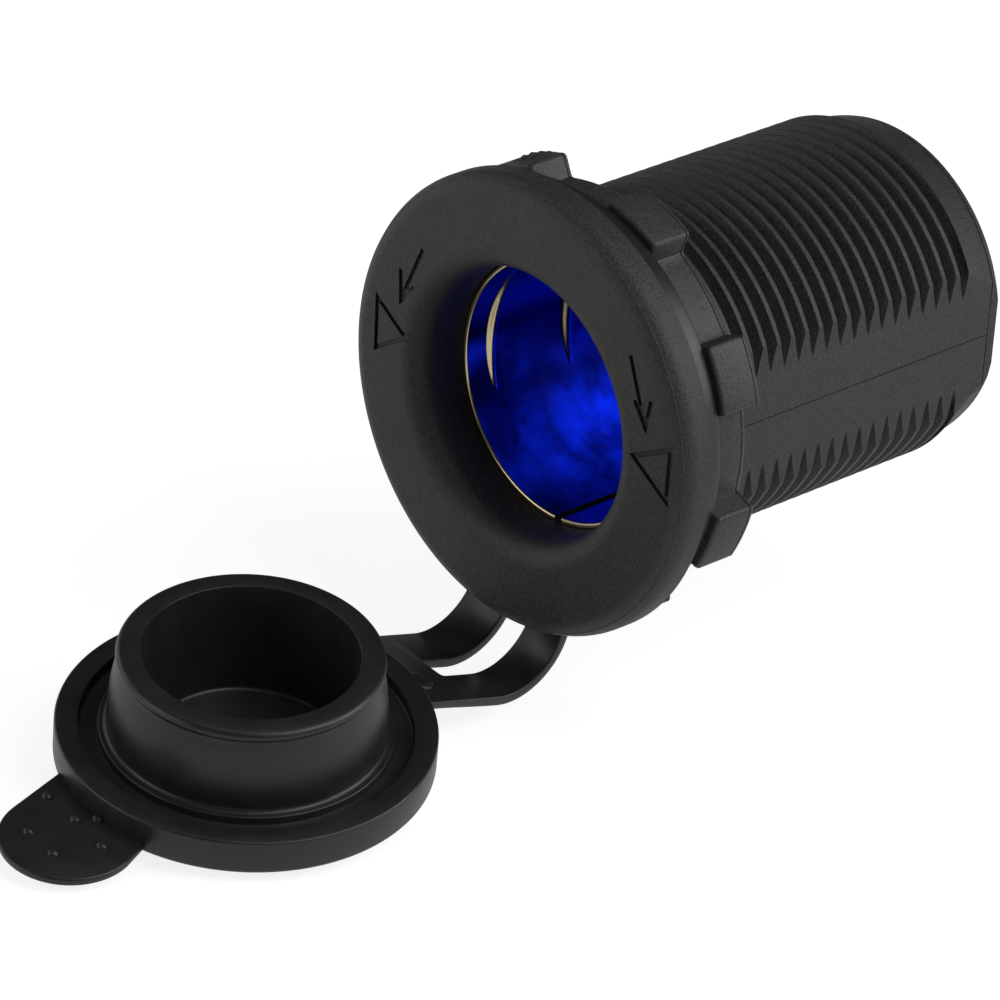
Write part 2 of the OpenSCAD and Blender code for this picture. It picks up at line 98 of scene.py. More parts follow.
# %% Driving sizes in millimetres
FLANGE_ROUND = 1.75
LIP_ROUND = 1.9
FLANGE_CHAMFER = 0.25
WITNESS_H = 0.04
THROAT_R = 11.0
LEDGE_R = 9.6
LEDGE_Y = 31.2
THREAD_R = 14.2
THREAD_PITCH = 1.54
THREAD_DEPTH = 0.9
GROOVE_MOUTH = 1.08
GROOVE_ROOT = 0.2
CREST_ROUND = 0.1
NECK_L = 1.97
THREAD_END_Y = 33.66
END_R = 13.43
TAPER_BOW = 0.1

# %% [markdown]
# ## Small tools for meshes
# Nearly every piece is turned, pressed or cut from a plate, so a few tools are enough: one makes a mesh
# from points in millimetres, one closes a grid of points into a skin, and one cuts with an exact boolean.

# %% Mesh tools
def piece(name, points, faces, sharp_deg=32):
    """Mesh object from points in mm. Doubled points are joined, and edges over sharp_deg stay sharp."""
    mesh = bpy.data.meshes.new(name)
    mesh.from_pydata([Vector(p) * MM for p in points], [], faces)
    obj = bpy.data.objects.new(name, mesh)
    bpy.context.collection.objects.link(obj)
    clean(obj, sharp_deg)
    return obj


def clean(obj, sharp_deg=32, join_mm=0.0005):
    """Joins doubled points, turns the faces outwards and marks the sharp edges."""
    bm = bmesh.new()
    bm.from_mesh(obj.data)
    bmesh.ops.remove_doubles(bm, verts=bm.verts, dist=join_mm * MM)
    bmesh.ops.dissolve_degenerate(bm, edges=bm.edges, dist=join_mm * MM)
    bmesh.ops.recalc_face_normals(bm, faces=bm.faces)
    limit = math.radians(sharp_deg)
    for face in bm.faces:
        face.smooth = True
    for edge in bm.edges:
        edge.smooth = len(edge.link_faces) == 2 and edge.calc_face_angle(0) < limit
    bm.to_mesh(obj.data)
    bm.free()


def skin(columns, close_columns=True, close_rows=True):
    """Points and quads from columns of equal length, joined side by side and, if asked, end to end."""
    count, length = len(columns), len(columns[0])
    points = [p for column in columns for p in column]
    faces = []
    for i in range(count if close_columns else count - 1):
        for j in range(length if close_rows else length - 1):
            a, b = i * length, (i + 1) % count * length
            k = (j + 1) % length
            faces.append((a + j, b + j, b + k, a + k))
    return points, faces


def cut(obj, tool, operation="DIFFERENCE", sharp_deg=32):
    """Cuts obj with another mesh object, or joins that to it, and keeps the result as plain mesh."""
    modifier = obj.modifiers.new("cut", "BOOLEAN")
    modifier.operation = operation
    modifier.solver = "EXACT"
    modifier.object = tool
    bpy.context.view_layer.update()
    evaluated = obj.evaluated_get(bpy.context.evaluated_depsgraph_get())
    result = bpy.data.meshes.new_from_object(evaluated)
    obj.modifiers.clear()
    obj.data = result
    bpy.data.objects.remove(tool)
    clean(obj, sharp_deg)


def on_barrel(radius, y, angle):
    """Point at an angle about the barrel's axis, from +X towards +Z."""
    return (radius * math.cos(angle), y, radius * math.sin(angle))


def arc(centre, radius, start_deg, end_deg, steps):
    """Points of an arc in a plane, ends included."""
    angles = [math.radians(start_deg + (end_deg - start_deg) * i / steps) for i in range(steps + 1)]
    return [(centre[0] + radius * math.cos(a), centre[1] + radius * math.sin(a)) for a in angles]


# %% [markdown]
# ## Small tools for materials
# A colour is written as the sRGB hex value that a picture editor shows, and one function turns it to the
# linear values that the shader wants. A pattern's scale is worked out from a real size in millimetres.

# %% Material tools
def srgb(hex_value):
    """Linear RGBA from an sRGB hex value."""
    parts = [int(hex_value[i:i + 2], 16) / 255 for i in (1, 3, 5)]
    return [p / 12.92 if p <= 0.04045 else ((p + 0.055) / 1.055) ** 2.4 for p in parts] + [1.0]


def per_mm(size_mm):
    """Scale of a texture whose features are size_mm across."""
    return 1 / (size_mm * MM)


def add(tree, kind, settings=None, links=None):
    """Adds a node, sets its sockets or properties by name and links its inputs."""
    made = tree.nodes.new(kind)
    for key, value in (settings or {}).items():
        if isinstance(key, int) or key in made.inputs:
            made.inputs[key].default_value = value
        else:
            setattr(made, key, value)
    for key, source in (links or {}).items():
        tree.links.new(source, made.inputs[key])
    return made


def new_material(name):
    """An empty node material, its tree and the object's own coordinates."""
    material = bpy.data.materials.new(name)
    material.use_nodes = True
    tree = material.node_tree
    tree.nodes.clear()
    place = add(tree, "ShaderNodeTexCoord").outputs["Object"]
    return material, tree, place


def finish_material(tree, shader):
    add(tree, "ShaderNodeOutputMaterial", links={"Surface": shader.outputs[0]})


def put(obj, material, body):
    """Gives a new piece its material and its body."""
    obj.data.materials.clear()
    obj.data.materials.append(material)
    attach(obj, body)
    return obj


# %% [markdown]
# ## Black nylon for the housing
# The housing is injection moulded glass filled nylon. The mould's faces were spark eroded, so the plastic
# has a fine even grain that breaks up the light: it looks dark grey and matt, never like gloss paint.
# Nylon's index of refraction is about 1.53. The real grain is near 0.05 mm, too fine for the picture, so it
# is drawn at 0.22 mm.

# %% Nylon material
def moulded_nylon(name, colour, light_colour, roughness, grain_mm, grain_depth_mm):
    """Nylon with dark and lighter specks that also stand up as a fine grain."""
    material, tree, place = new_material(name)
    grain = add(tree, "ShaderNodeTexNoise", {"Scale": per_mm(grain_mm), "Detail": 3.0, "Roughness": 0.6},
                {"Vector": place})
    cloud = add(tree, "ShaderNodeTexNoise", {"Scale": per_mm(6.0), "Detail": 2.0}, {"Vector": place})
    speck = add(tree, "ShaderNodeMapRange", {"From Min": 0.3, "From Max": 0.7},
                {"Value": grain.outputs["Fac"]})
    tint = add(tree, "ShaderNodeMix", {"data_type": "RGBA"}, {"Factor": speck.outputs["Result"]})
    tint.inputs["A"].default_value = srgb(colour)
    tint.inputs["B"].default_value = srgb(light_colour)
    rough = add(tree, "ShaderNodeMapRange", {"To Min": roughness - 0.05, "To Max": roughness + 0.05},
                {"Value": cloud.outputs["Fac"]})
    bump = add(tree, "ShaderNodeBump", {"Strength": 0.8, "Distance": grain_depth_mm * MM},
               {"Height": speck.outputs["Result"]})
    shader = add(tree, "ShaderNodeBsdfPrincipled", {"IOR": 1.53},
                 {"Base Color": tint.outputs["Result"], "Roughness": rough.outputs["Result"],
                  "Normal": bump.outputs["Normal"]})
    finish_material(tree, shader)
    return material


grained_nylon = moulded_nylon("glass_filled_nylon_grained", "#151413", "#3d3c3a", 0.56, 0.22, 0.03)
nut_nylon = moulded_nylon("glass_filled_nylon_nut", "#181919", "#40413f", 0.5, 0.22, 0.025)
print("nylon:", grained_nylon.name, nut_nylon.name)

# %% [markdown]
# ## Soft black rubber for the cap
# The cap, its straps and its ring are one moulding of soft thermoplastic rubber from a polished mould. It
# is smoother than the nylon, so broad soft highlights run along its roundings, with a faint mottle that
# handling leaves. The index of refraction is about 1.5.

# %% Rubber material
def moulded_rubber(name):
    material, tree, place = new_material(name)
    mottle = add(tree, "ShaderNodeTexNoise", {"Scale": per_mm(2.2), "Detail": 4.0}, {"Vector": place})
    skin_grain = add(tree, "ShaderNodeTexNoise", {"Scale": per_mm(0.12), "Detail": 2.0}, {"Vector": place})
    tint = add(tree, "ShaderNodeMix", {"data_type": "RGBA"}, {"Factor": mottle.outputs["Fac"]})
    tint.inputs["A"].default_value = srgb("#1d1b1a")
    tint.inputs["B"].default_value = srgb("#2a2826")
    rough = add(tree, "ShaderNodeMapRange", {"To Min": 0.3, "To Max": 0.46},
                {"Value": mottle.outputs["Fac"]})
    bump = add(tree, "ShaderNodeBump", {"Strength": 0.35, "Distance": 0.012 * MM},
               {"Height": skin_grain.outputs["Fac"]})
    shader = add(tree, "ShaderNodeBsdfPrincipled", {"IOR": 1.5},
                 {"Base Color": tint.outputs["Result"], "Roughness": rough.outputs["Result"],
                  "Normal": bump.outputs["Normal"]})
    finish_material(tree, shader)
    return material


cap_rubber = moulded_rubber("moulded_rubber_satin")

# %% [markdown]
# ## Metals
# The shell is rolled steel sheet with bright nickel plate, whose pale gold colour is partly its own warm
# tone and partly painted warm lamp light. Rolling leaves faint lines along the barrel, so the noise is
# stretched along Y.
# The rivets and the centre contact are turned or pressed brass, and the blades are tinned strip. A metal
# keeps the default index of refraction. The plain wall of the bore has a copy of the plate with painted
# light: a darker blue base colour for the lamp's blue light, and a painted blue glow in streaks where the
# wall would scatter it.

# %% Metal material
def metal(name, colour, roughness, line_mm, stretch, glow=None):
    """Metal with fine lines, and a painted blue glow where one is given."""
    material, tree, place = new_material(name)
    spread = add(tree, "ShaderNodeMapping", {"Scale": (1.0, stretch, 1.0)}, {"Vector": place})
    lines = add(tree, "ShaderNodeTexNoise", {"Scale": per_mm(line_mm), "Detail": 3.0},
                {"Vector": spread.outputs["Vector"]})
    rough = add(tree, "ShaderNodeMapRange", {"To Min": roughness - 0.06, "To Max": roughness + 0.08},
                {"Value": lines.outputs["Fac"]})
    bump = add(tree, "ShaderNodeBump", {"Strength": 0.15, "Distance": 0.01 * MM},
               {"Height": lines.outputs["Fac"]})
    shader = add(tree, "ShaderNodeBsdfPrincipled", {"Base Color": srgb(colour), "Metallic": 1.0},
                 {"Roughness": rough.outputs["Result"], "Normal": bump.outputs["Normal"]})
    if glow:
        # Painted glow: blue emission on the plate stands for lamp light that the wall scatters.
        shader.inputs["Emission Color"].default_value = srgb("#0a2cff")
        tree.links.new(glow(tree, place), shader.inputs["Emission Strength"])
    finish_material(tree, shader)
    return material


# Painted streaks of blue light on the wall: middle and half width in degrees below -X, level at the rim and
# deep inside.
PAINTED_STREAKS = [(60, 44, 0.12, 0.5), (42, 13, 0.06, 0.16), (8, 12, 0.18, 0.0), (19, 9, 0.03, 0.16)]


def painted_wall_glow(tree, place):
    """Painted glow for the lamp light that the plated wall scatters: streaks along the bore, which the noise
    breaks up.
    """
    split = add(tree, "ShaderNodeSeparateXYZ", links={"Vector": place})
    down = add(tree, "ShaderNodeMath", {"operation": "MULTIPLY", 1: -1.0}, {0: split.outputs["Z"]})
    left = add(tree, "ShaderNodeMath", {"operation": "MULTIPLY", 1: -1.0}, {0: split.outputs["X"]})
    turn = add(tree, "ShaderNodeMath", {"operation": "ARCTAN2"}, {0: down.outputs[0], 1: left.outputs[0]})
    total = None
    for middle, half_width, near, deep in PAINTED_STREAKS:
        away = add(tree, "ShaderNodeMath", {"operation": "SUBTRACT", 1: math.radians(middle)},
                   {0: turn.outputs[0]})
        away = add(tree, "ShaderNodeMath", {"operation": "ABSOLUTE"}, {0: away.outputs[0]})
        shape = add(tree, "ShaderNodeMapRange",
                    {"interpolation_type": "SMOOTHSTEP", "To Min": 1.0, "To Max": 0.0,
                     "From Max": math.radians(half_width)}, {"Value": away.outputs[0]})
        level = add(tree, "ShaderNodeMapRange",
                    {"From Min": 3.0 * MM, "From Max": 13.0 * MM, "To Min": near, "To Max": deep},
                    {"Value": split.outputs["Y"]})
        part = add(tree, "ShaderNodeMath", {"operation": "MULTIPLY"},
                   {0: shape.outputs["Result"], 1: level.outputs["Result"]})
        if total:
            part = add(tree, "ShaderNodeMath", {"operation": "ADD"},
                       {0: total.outputs[0], 1: part.outputs[0]})
        total = part
    blotch = add(tree, "ShaderNodeTexNoise", {"Scale": per_mm(3.0), "Detail": 4.0}, {"Vector": place})
    patch = add(tree, "ShaderNodeMapRange",
                {"From Min": 0.35, "From Max": 0.65, "To Min": 0.35, "To Max": 1.6},
                {"Value": blotch.outputs["Fac"]})
    level = add(tree, "ShaderNodeMath", {"operation": "MULTIPLY"},
                {0: total.outputs[0], 1: patch.outputs["Result"]})
    return level.outputs[0]


# Pale gold base: the nickel's own warm tone with painted warm lamp light added to it.
nickel_painted_warm_tint = metal("nickel_plated_steel_painted_warm_tint", "#cfbf9c", 0.2, 0.5, 0.08)
# Painted light in the bore: a darker blue base colour and painted blue glow streaks.
nickel_painted_light = metal("nickel_plated_bore_painted_light", "#4d5888", 0.22, 0.5, 0.08, glow=painted_wall_glow)
turned_brass = metal("turned_brass", "#d8b56a", 0.28, 0.25, 1.0)
tinned_strip = metal("tinned_brass_strip", "#d2d3d2", 0.34, 0.3, 0.15)

# %% [markdown]
# ## The lamp and the painted glow round it
# A blue lamp stands in the base insulator. The insulator is dark acetal, and a glow round the lamp that
# fades with the distance is painted on it as emission. The plated wall mirrors that glow, but most of the
# bore's blue is painted on the wall's own material.

# %% Lamp, insulator and board materials
LAMP_AT = (0.0, 29.0 * MM, -6.6 * MM)


def glowing(name, base, glow, strength, reach_mm):
    """Plastic that emits light round the lamp, fading with the distance from it: the lamp's own light on its
    epoxy, a painted glow on the insulator.
    """
    material, tree, place = new_material(name)
    gap = add(tree, "ShaderNodeVectorMath", {"operation": "DISTANCE"}, {0: place})
    gap.inputs[1].default_value = LAMP_AT
    fade = add(tree, "ShaderNodeMapRange",
               {"From Min": 0.0, "From Max": reach_mm * MM, "To Min": strength, "To Max": strength * 0.12},
               {"Value": gap.outputs["Value"]})
    shader = add(tree, "ShaderNodeBsdfPrincipled",
                 {"Base Color": srgb(base), "Roughness": 0.45, "IOR": 1.48, "Emission Color": srgb(glow)},
                 {"Emission Strength": fade.outputs["Result"]})
    finish_material(tree, shader)
    return material


def mottled(name, dark, light, roughness, size_mm, ior):
    """Plain plastic, mask or glaze with a slight variation of its colour."""
    material, tree, place = new_material(name)
    mottle = add(tree, "ShaderNodeTexNoise", {"Scale": per_mm(size_mm), "Detail": 3.0}, {"Vector": place})
    tint = add(tree, "ShaderNodeMix", {"data_type": "RGBA"}, {"Factor": mottle.outputs["Fac"]})
    tint.inputs["A"].default_value = srgb(dark)
    tint.inputs["B"].default_value = srgb(light)
    shader = add(tree, "ShaderNodeBsdfPrincipled", {"Roughness": roughness, "IOR": ior},
                 {"Base Color": tint.outputs["Result"]})
    finish_material(tree, shader)
    return material


lamp_epoxy = glowing("blue_epoxy_lamp", "#8fb4ff", "#1030ff", 8.0, 3.0)
# Painted glow on the insulator, which is no lamp: blue emission that fades away from the lamp.
acetal_painted_glow = glowing("dark_acetal_painted_glow", "#14161f", "#0518ff", 0.8, 16.0)
plain_acetal = mottled("milky_acetal", "#cfccc2", "#dedbd2", 0.5, 1.5, 1.48)
board_mask = mottled("green_solder_mask", "#14532c", "#1d6f3c", 0.35, 0.8, 1.5)
resistor_glaze = mottled("black_glaze", "#141414", "#202020", 0.3, 0.4, 1.5)

# %% Materials for the pieces that keep their solids
SOLID_FINISH = {
    "base_insulator": acetal_painted_glow,
    "centre_contact": turned_brass,
    "centre_rivet": turned_brass,
    "front_sleeve": plain_acetal,
    "rear_sleeve": turned_brass,
    "led_board": board_mask,
    "led": lamp_epoxy,
    "led_leads": tinned_strip,
    "led_resistor": resistor_glaze,
    "negative_terminal": tinned_strip,
    "negative_rivet": turned_brass,
    "positive_terminal": tinned_strip,
    "backing_washer": tinned_strip,
    "rear_cap": grained_nylon,
}
for node_name, material in SOLID_FINISH.items():
    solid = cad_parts[node_name]
    solid.data.materials.clear()
    solid.data.materials.append(material)
print("solids with their finish:", len(SOLID_FINISH))

# %% [markdown]
# ## The housing
# The housing is one moulding: lip, flange, neck, right-hand thread, tapered end and the bore. A lathe gives
# everything but the thread, whose lines climb one pitch a turn. So each column of points stands at its own
# angle and asks for the height of every thread line there. Lines that leave the threaded length are held at
# its end, where the doubled points are joined again.

# %% Thread section
def groove_profile():
    """One pitch of the thread as (share of the pitch, radius), from the middle of one crest to the next."""
    half_mouth = GROOVE_MOUTH / 2 / THREAD_PITCH
    half_root = GROOVE_ROOT / 2 / THREAD_PITCH
    edge = CREST_ROUND / THREAD_PITCH
    root_r = THREAD_R - THREAD_DEPTH
    return [
        (0.5 - half_mouth - edge, THREAD_R),
        (0.5 - half_mouth - edge * 0.2, THREAD_R - CREST_ROUND * 0.25),
        (0.5 - half_mouth + edge * 0.35, THREAD_R - CREST_ROUND * 1.2),
        (0.5 - half_root - edge * 0.4, root_r + CREST_ROUND * 0.9),
        (0.5 - half_root + edge * 0.3, root_r),
        (0.5 + half_root - edge * 0.3, root_r),
        (0.5 + half_root + edge * 0.4, root_r + CREST_ROUND * 0.9),
        (0.5 + half_mouth - edge * 0.35, THREAD_R - CREST_ROUND * 1.2),
        (0.5 + half_mouth + edge * 0.2, THREAD_R - CREST_ROUND * 0.25),
        (0.5 + half_mouth + edge, THREAD_R),
    ]


GROOVE = groove_profile()
CREST_Y = 32.36
CREST_DEG = 45.0


def crest_height(angle):
    """Height of the last crest's middle at an angle from -180 to 180 degrees: a right-hand helix."""
    return CREST_Y - THREAD_PITCH * (math.degrees(angle) - CREST_DEG) / 360


def thread_radius(y, angle):
    """Radius of the thread's surface at a height and an angle."""
    share = ((y - crest_height(angle)) / THREAD_PITCH) % 1.0
    ring = [(0.0, THREAD_R)] + GROOVE + [(1.0, THREAD_R)]
    for (s0, r0), (s1, r1) in zip(ring, ring[1:]):
        if s0 <= share <= s1:
            return r0 + (r1 - r0) * (share - s0) / (s1 - s0)
    return THREAD_R


def thread_column(angle):
    """All the thread's points at one angle, from the neck to the tapered end."""
    turns = int((THREAD_END_Y - NECK_L) / THREAD_PITCH) + 3
    points = []
    for turn in range(-turns, 2):
        for share, radius in GROOVE:
            y = crest_height(angle) + (turn + share) * THREAD_PITCH
            held = min(max(y, NECK_L), THREAD_END_Y)
            points.append((radius if held == y else thread_radius(held, angle), held))
    return points


# %% Housing mesh
def housing_column(angle):
    """Section of the housing at one angle, from the bore's rear end round to the barrel's end."""
    lip = arc((THROAT_R + LIP_ROUND, FRONT_Y + LIP_ROUND), LIP_ROUND, 180, 270, 12)
    round_at = (FLANGE_R - FLANGE_ROUND, FRONT_Y + FLANGE_ROUND)
    flange = arc(round_at, FLANGE_ROUND, 270, 313, 6)
    flange += arc(round_at, FLANGE_ROUND + WITNESS_H, 314.2, 315.8, 1)
    flange += arc(round_at, FLANGE_ROUND, 317, 360, 6)
    front = [(LEDGE_R, BARREL_Y), (LEDGE_R, LEDGE_Y), (THROAT_R, LEDGE_Y)] + lip + flange
    behind = [(FLANGE_R, -FLANGE_CHAMFER), (FLANGE_R - FLANGE_CHAMFER, 0)]
    behind += [(THREAD_R, 0), (THREAD_R, NECK_L)]
    middle = ((THREAD_R + END_R) / 2 - TAPER_BOW, (THREAD_END_Y + BARREL_Y) / 2)
    end = [(THREAD_R, THREAD_END_Y), middle, (END_R + 0.05, BARREL_Y - 0.12), (END_R - 0.05, BARREL_Y)]
    return [on_barrel(r, y, angle) for r, y in front + behind + thread_column(angle) + end]


def make_housing(columns=240):
    angles = [-math.pi + 2 * math.pi * i / columns for i in range(columns + 1)]
    points, faces = skin([housing_column(a) for a in angles], close_columns=False)
    return piece("socket_housing", points, faces)


housing = make_housing()
print("housing before the cuts:", len(housing.data.polygons), "faces")

# %% [markdown]
# ## Cuts in the housing
# Two flats keep the barrel from turning in its panel. A fine parting line runs along each, where the
# mould's halves met, and a fine groove runs round the barrel's end. The signs on the face are engraved: an
# arrow and a triangle on each side. Each sign is a thin prism that an exact boolean takes away.

# %% Prisms for the cuts
def prism(name, outline, low, high, hole=None):
    """Prism along Y over an outline of (x, z) points, with an inner outline of as many points if given."""
    count = len(outline)
    loops = [outline] + ([hole] if hole else [])
    points = [(x, y, z) for loop in loops for y in (low, high) for x, z in loop]
    faces = []
    for i in range(count):
        j = (i + 1) % count
        faces.append((i, j, count + j, count + i))
        if hole:
            a = 2 * count
            faces.append((a + i, a + count + i, a + count + j, a + j))
            faces.append((i, a + i, a + j, j))
            faces.append((count + i, count + j, a + count + j, a + count + i))
    if not hole:
        faces.append(tuple(range(count)))
        faces.append(tuple(range(count, 2 * count)))
    return piece(name, points, faces)


def box_outline(x0, x1, z0, z1):
    return [(x0, z0), (x1, z0), (x1, z1), (x0, z1)]


def join_cutters(cutters):
    """One mesh object out of several that don't touch each other."""
    joined = cutters[0]
    bm = bmesh.new()
    for cutter in cutters:
        bm.from_mesh(cutter.data)
    bm.to_mesh(joined.data)
    bm.free()
    for cutter in cutters[1:]:
        bpy.data.objects.remove(cutter)
    return joined


# %% Outlines of the engraved signs
STROKE_W = 0.42
STROKE_DEPTH = 0.28
CUT_OVER = 1  # how far a cutter stands past the surface that it cuts


def on_face(radius, angle_deg):
    """Place on the flange's face from its polar place."""
    a = math.radians(angle_deg)
    return Vector((radius * math.cos(a), radius * math.sin(a)))


def offset_corners(corners, distance):
    """A convex outline moved outwards by a distance, with its corners kept sharp."""
    moved = []
    count = len(corners)
    for i, corner in enumerate(corners):
        before = (corner - corners[i - 1]).normalized()
        after = (corners[(i + 1) % count] - corner).normalized()
        turn = math.copysign(1.0, before.cross(after))
        side = Vector((before.y + after.y, -before.x - after.x)).normalized() * turn
        half = before.angle(after) / 2
        moved.append(corner + side * distance / math.cos(half))
    return moved


def arrow_outline(tip, tail, barb_a, barb_b, width):
    """Outline of an open arrow: a shaft and two barbs that meet at the tip."""
    h = width / 2
    shaft, a, b = [(end - tip).normalized() for end in (tail, barb_a, barb_b)]
    turn = math.copysign(1.0, a.cross(b))

    def side(direction, sign):
        return Vector((-direction.y, direction.x)) * h * sign * turn

    def crotch(first, second):
        return tip + (first + second).normalized() * h / math.sin(first.angle(second) / 2)

    nose = tip - (a + b).normalized() * h / math.sin(a.angle(b) / 2)
    return [nose, barb_a + side(a, -1), barb_a + side(a, 1), crotch(a, shaft), tail + side(shaft, -1),
            tail + side(shaft, 1), crotch(shaft, b), barb_b + side(b, -1), barb_b + side(b, 1)]


# %% Engraved signs, flats and parting lines
TRIANGLES = [
    [on_face(16.07, 167.6), on_face(15.57, -176.9), on_face(12.35, 174.4)],
    [on_face(13.24, 6.7), on_face(17.31, 11.9), on_face(16.98, -2.8)],
]
ARROWS = [
    (on_face(13.72, 162.1), on_face(14.37, 139.5), on_face(14.92, 152.8), on_face(13.0, 153.5)),
    (on_face(14.81, 16.9), on_face(15.39, 38.4), on_face(14.24, 25.4), on_face(16.06, 24.6)),
]
cutters = []
for corners in TRIANGLES:
    outer = offset_corners(corners, STROKE_W / 2)
    inner = offset_corners(corners, -STROKE_W / 2)
    cutters.append(prism("triangle", outer, FRONT_Y - CUT_OVER, FRONT_Y + STROKE_DEPTH, hole=inner))
for tip, tail, barb_a, barb_b in ARROWS:
    outline = arrow_outline(tip, tail, barb_a, barb_b, STROKE_W)
    cutters.append(prism("arrow", outline, FRONT_Y - CUT_OVER, FRONT_Y + STROKE_DEPTH))
FLAT_CUT_W = 6
FLAT_CUT_H = 15
for side in (-1, 1):
    near, far = sorted((side * FLAT_X, side * (FLAT_X + FLAT_CUT_W)))
    outline = box_outline(near, far, -FLAT_CUT_H, FLAT_CUT_H)
    cutters.append(prism("flat", outline, 0.0, BARREL_Y + CUT_OVER))
cut(housing, join_cutters(cutters))

# %% Groove round the barrel's end
END_GROOVE = 0.13
END_GROOVE_L = 0.08
GROOVE_STEPS = 120
ring, rim = [], []
for i in range(GROOVE_STEPS):
    a = 2 * math.pi * i / GROOVE_STEPS
    x = (END_R - END_GROOVE) * math.cos(a)
    held = max(min(x, FLAT_X - END_GROOVE), END_GROOVE - FLAT_X)
    ring.append((held, (END_R - END_GROOVE) * math.sin(a)))
    rim.append(((END_R + CUT_OVER) * math.cos(a), (END_R + CUT_OVER) * math.sin(a)))
cut(housing, prism("end_groove", rim, BARREL_Y - END_GROOVE_L, BARREL_Y + CUT_OVER, hole=ring))
print("end groove:", END_GROOVE, "mm deep")

# %% Parting lines on the flats
PARTING_W = 0.1
PARTING_DEPTH = 0.07
PARTING_OUT = 0.5
lines = []
for side in (-1, 1):
    near, far = sorted((side * (FLAT_X - PARTING_DEPTH), side * (FLAT_X + PARTING_OUT)))
    outline = box_outline(near, far, -PARTING_W / 2, PARTING_W / 2)
    lines.append(prism("parting", outline, NUT_Y1 - CUT_OVER, BARREL_Y + CUT_OVER))
cut(housing, join_cutters(lines))
put(housing, grained_nylon, "socket")
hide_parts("housing")
print("housing:", len(housing.data.polygons), "faces")

# %% [markdown]
# ## The contact shell
# The shell is a strip of sheet rolled to a tube, so an open seam is left at the bottom. Its rim is rounded,
# and two ribs are pressed inward to hold the plug. Each column of points is the section of the sheet at one
# angle. The ribs swell towards their middle, so their front slopes mirror the room.

# %% Contact shell mesh
SHELL_R = 10.5
SHEET_T = 0.45
RIM_Y = 1.75
LEAD_IN = 0.2
RIM_EDGE = 0.1
BORE_END_Y = 25.6
SHELL_END_Y = 29.0
NECK_IN_R = 0.3
SEAM_W = 0.75
SEAM_DEG = -85.0
RIB_PLACES = (4.35, 12.55)
RIB_W = 1.25
RIB_H = 0.44
RIB_DEG = 172.0
RIB_SPAN_DEG = 68.0
RIB_FOOT = 0.15
SHELL_LUG_W = 6.0
SHELL_LUG_IN = 0.4
SHELL_LUG_TIP_X = -5.2
SHELL_LUG_ROUND = 1.0
SHELL_RIVET_X = -5.6
SHELL_RIVET_R = 1.0


def rib_points(y, swell):
    """Section across one rib as (radius, y): a smooth bow of the sheet whose size follows the swell."""
    width = RIB_W * max(swell, 0.25) ** 0.5
    points = [(SHELL_R, y - width / 2 - RIB_FOOT)]
    for i in range(17):
        t = i / 8 - 1
        points.append((SHELL_R - RIB_H * swell * (1 + math.cos(math.pi * t)) / 2, y + t * width / 2))
    return points + [(SHELL_R, y + width / 2 + RIB_FOOT)]


def shell_column(angle_deg):
    """Closed section of the sheet at one angle, from the rear edge round the rim and back."""
    outer, small = SHELL_R + SHEET_T, SHELL_R - NECK_IN_R
    along = abs((angle_deg - RIB_DEG + 180) % 360 - 180) / (RIB_SPAN_DEG / 2)
    swell = max(1 - along * along, 0.0)
    points = [(small + SHEET_T, SHELL_END_Y), (small + SHEET_T, BORE_END_Y + SHEET_T + NECK_IN_R)]
    points += [(outer, BORE_END_Y + SHEET_T)]
    points += arc((outer - RIM_EDGE, RIM_Y + RIM_EDGE), RIM_EDGE, 0, -90, 3)
    points += arc((SHELL_R + LEAD_IN, RIM_Y + LEAD_IN), LEAD_IN, -92, -180, 7)
    points += rib_points(RIB_PLACES[0], swell) + [(SHELL_R, y) for y in (6.0, 7.5, 9.0, 10.5)]
    points += rib_points(RIB_PLACES[1], swell) + [(SHELL_R, y) for y in (15.0, 17.5, 20.0, 23.0)]
    points += [(SHELL_R, BORE_END_Y), (small, BORE_END_Y + NECK_IN_R), (small, SHELL_END_Y)]
    return [on_barrel(r, y, math.radians(angle_deg)) for r, y in points]


def make_shell(columns=240):
    half_seam = math.degrees(SEAM_W / 2 / SHELL_R)
    first, span = SEAM_DEG + half_seam, 360 - 2 * half_seam
    rings = [shell_column(first + span * i / columns) for i in range(columns + 1)]
    points, faces = skin(rings, close_columns=False)
    length = len(rings[0])
    faces.append(tuple(range(length)))
    faces.append(tuple(range(len(points) - length, len(points))))
    return piece("rolled_shell", points, faces, sharp_deg=40)


def make_shell_lug():
    """Tongue at the shell's end that the negative rivet holds."""
    half, tip, r = SHELL_LUG_W / 2, SHELL_LUG_TIP_X, SHELL_LUG_ROUND
    outline = [(-SHELL_R + SHELL_LUG_IN, -half), (tip, -half)] + arc((tip, -half + r), r, -90, 0, 4)
    outline += arc((tip, half - r), r, 0, 90, 4) + [(-SHELL_R + SHELL_LUG_IN, half)]
    lug = prism("shell_lug", outline, SHELL_END_Y - SHEET_T, SHELL_END_Y)
    hole = arc((SHELL_RIVET_X, 0.0), SHELL_RIVET_R, 0, 352.5, 47)
    cut(lug, prism("rivet_hole", hole, SHELL_END_Y - CUT_OVER, SHELL_END_Y + CUT_OVER))
    return lug


WALL_INWARD = 0.97  # a face of the plain wall looks straight at the axis


